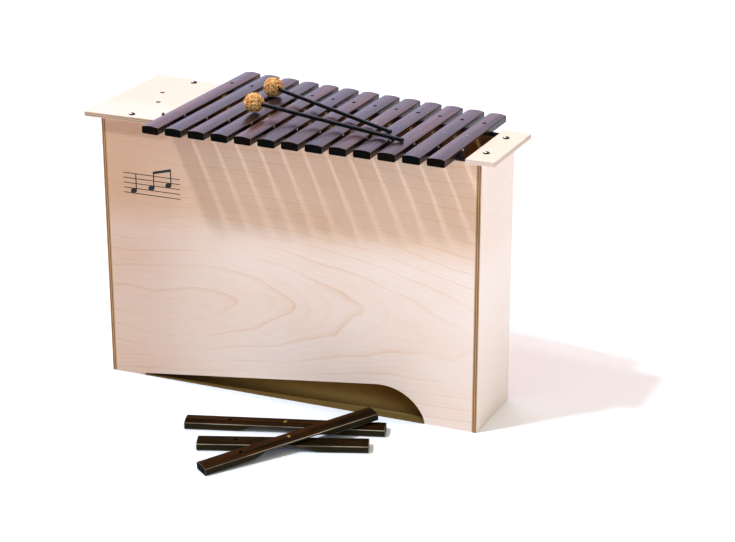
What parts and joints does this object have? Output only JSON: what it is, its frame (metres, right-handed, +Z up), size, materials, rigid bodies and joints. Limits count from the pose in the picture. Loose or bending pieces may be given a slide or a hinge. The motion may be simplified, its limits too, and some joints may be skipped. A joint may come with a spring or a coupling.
{
  "type": "bass box xylophone",
  "caption": "Tapered plywood sound box that stands on the floor, with crowned rosewood tone bars that lift off its pins, wound mallets and exchange bars.",
  "frame": {"origin": "on the floor, in the middle of the bounding box of the instrument with its exchange bars", "axes": "+X runs from the low notes to the high notes, -Y is the player's side, +Z is up"},
  "size_m": [1.073, 0.8426, 0.7735],
  "materials": {
    "birch_ply": "satin clear lacquer on birch plywood",
    "plate_ply": "satin clear lacquer on pale birch plywood",
    "inner_ply": "raw brown plywood and softwood",
    "rosewood": "oiled and polished dark rosewood",
    "exchange_rosewood": "oiled and polished dark brown rosewood",
    "black_screw": "black oxide, domed, slight gloss",
    "rail_felt": "matt black foam rubber",
    "pin_steel": "bright drawn steel",
    "sleeve_rubber": "smooth black rubber tube",
    "wound_head": "coarse ochre cord wound over a ball",
    "mallet_shaft": "dark green-black glossy rod"
  },
  "bodies": {
    "box": {"front_panel": "birch_ply", "rear_panel": "birch_ply", "low_end_panel": "birch_ply", "high_end_panel": "birch_ply", "base_board": "inner_ply", "bottom_board": "inner_ply", "bottom_glue_strips": "inner_ply", "corner_cleats": "inner_ply", "low_divider": "inner_ply", "middle_divider": "inner_ply", "high_divider": "inner_ply", "low_top_plate": "plate_ply", "high_top_plate": "plate_ply", "top_plate_screws": "black_screw", "front_rail_strip": "rail_felt", "rear_rail_strip": "rail_felt", "front_pins": "pin_steel", "front_pin_sleeves": "sleeve_rubber", "rear_pins": "pin_steel", "rear_pin_sleeves": "sleeve_rubber"},
    "bar_c1": {"tone_bar_c1": "rosewood"},
    "bar_d1": {"tone_bar_d1": "rosewood"},
    "bar_e1": {"tone_bar_e1": "rosewood"},
    "bar_f1": {"tone_bar_f1": "rosewood"},
    "bar_g1": {"tone_bar_g1": "rosewood"},
    "bar_a1": {"tone_bar_a1": "rosewood"},
    "bar_b1": {"tone_bar_b1": "rosewood"},
    "bar_c2": {"tone_bar_c2": "rosewood"},
    "bar_d2": {"tone_bar_d2": "rosewood"},
    "bar_e2": {"tone_bar_e2": "rosewood"},
    "bar_f2": {"tone_bar_f2": "rosewood"},
    "bar_g2": {"tone_bar_g2": "rosewood"},
    "bar_a2": {"tone_bar_a2": "rosewood"},
    "exchange_f_sharp": {"exchange_bar_f_sharp": "exchange_rosewood"},
    "exchange_b_flat": {"exchange_bar_b_flat": "exchange_rosewood"},
    "exchange_high_f_sharp": {"exchange_bar_high_f_sharp": "exchange_rosewood"},
    "front_mallet": {"front_mallet_head": "wound_head", "front_mallet_shaft": "mallet_shaft"},
    "rear_mallet": {"rear_mallet_head": "wound_head", "rear_mallet_shaft": "mallet_shaft"}
  },
  "joints": [
    {"name": "front_mallet_lift", "type": "slide", "parent": "box", "child": "front_mallet", "axis": [0, 0, 1], "range_m": [0, 0.15]},
    {"name": "rear_mallet_lift", "type": "slide", "parent": "box", "child": "rear_mallet", "axis": [0, 0, 1], "range_m": [0, 0.15]},
    {"name": "bar_c1_lift", "type": "slide", "parent": "box", "child": "bar_c1", "axis": [0, 0, 1], "range_m": [0, 0.06]},
    {"name": "bar_d1_lift", "type": "slide", "parent": "box", "child": "bar_d1", "axis": [0, 0, 1], "range_m": [0, 0.06]},
    {"name": "bar_e1_lift", "type": "slide", "parent": "box", "child": "bar_e1", "axis": [0, 0, 1], "range_m": [0, 0.06]},
    {"name": "bar_f1_lift", "type": "slide", "parent": "box", "child": "bar_f1", "axis": [0, 0, 1], "range_m": [0, 0.06]},
    {"name": "bar_g1_lift", "type": "slide", "parent": "box", "child": "bar_g1", "axis": [0, 0, 1], "range_m": [0, 0.06]},
    {"name": "bar_a1_lift", "type": "slide", "parent": "box", "child": "bar_a1", "axis": [0, 0, 1], "range_m": [0, 0.06]},
    {"name": "bar_b1_lift", "type": "slide", "parent": "box", "child": "bar_b1", "axis": [0, 0, 1], "range_m": [0, 0.06]},
    {"name": "bar_c2_lift", "type": "slide", "parent": "box", "child": "bar_c2", "axis": [0, 0, 1], "range_m": [0, 0.06]},
    {"name": "bar_d2_lift", "type": "slide", "parent": "box", "child": "bar_d2", "axis": [0, 0, 1], "range_m": [0, 0.06]},
    {"name": "bar_e2_lift", "type": "slide", "parent": "box", "child": "bar_e2", "axis": [0, 0, 1], "range_m": [0, 0.06]},
    {"name": "bar_f2_lift", "type": "slide", "parent": "box", "child": "bar_f2", "axis": [0, 0, 1], "range_m": [0, 0.06]},
    {"name": "bar_g2_lift", "type": "slide", "parent": "box", "child": "bar_g2", "axis": [0, 0, 1], "range_m": [0, 0.06]},
    {"name": "bar_a2_lift", "type": "slide", "parent": "box", "child": "bar_a2", "axis": [0, 0, 1], "range_m": [0, 0.06]},
    {"name": "exchange_b_flat_lift", "type": "slide", "parent": "box", "child": "exchange_b_flat", "axis": [0, 0, 1], "range_m": [0, 0.12]},
    {"name": "exchange_f_sharp_lift", "type": "slide", "parent": "box", "child": "exchange_f_sharp", "axis": [0, 0, 1], "range_m": [0, 0.06]},
    {"name": "exchange_high_f_sharp_lift", "type": "slide", "parent": "box", "child": "exchange_high_f_sharp", "axis": [0, 0, 1], "range_m": [0, 0.06]}
  ],
  "couplings": [
    {"joint": "rear_mallet_lift", "follows": "front_mallet_lift", "ratio": 1},
    {"joint": "bar_e1_lift", "follows": "front_mallet_lift", "ratio": 0.4},
    {"joint": "bar_f1_lift", "follows": "front_mallet_lift", "ratio": 0.4},
    {"joint": "bar_g1_lift", "follows": "front_mallet_lift", "ratio": 0.4},
    {"joint": "bar_a1_lift", "follows": "front_mallet_lift", "ratio": 0.4},
    {"joint": "bar_b1_lift", "follows": "front_mallet_lift", "ratio": 0.4},
    {"joint": "bar_c2_lift", "follows": "front_mallet_lift", "ratio": 0.4},
    {"joint": "bar_d2_lift", "follows": "front_mallet_lift", "ratio": 0.4},
    {"joint": "bar_e2_lift", "follows": "front_mallet_lift", "ratio": 0.4},
    {"joint": "bar_f2_lift", "follows": "front_mallet_lift", "ratio": 0.4},
    {"joint": "exchange_f_sharp_lift", "follows": "exchange_b_flat_lift", "ratio": 0.5},
    {"joint": "exchange_high_f_sharp_lift", "follows": "exchange_b_flat_lift", "ratio": 0.5}
  ]
}
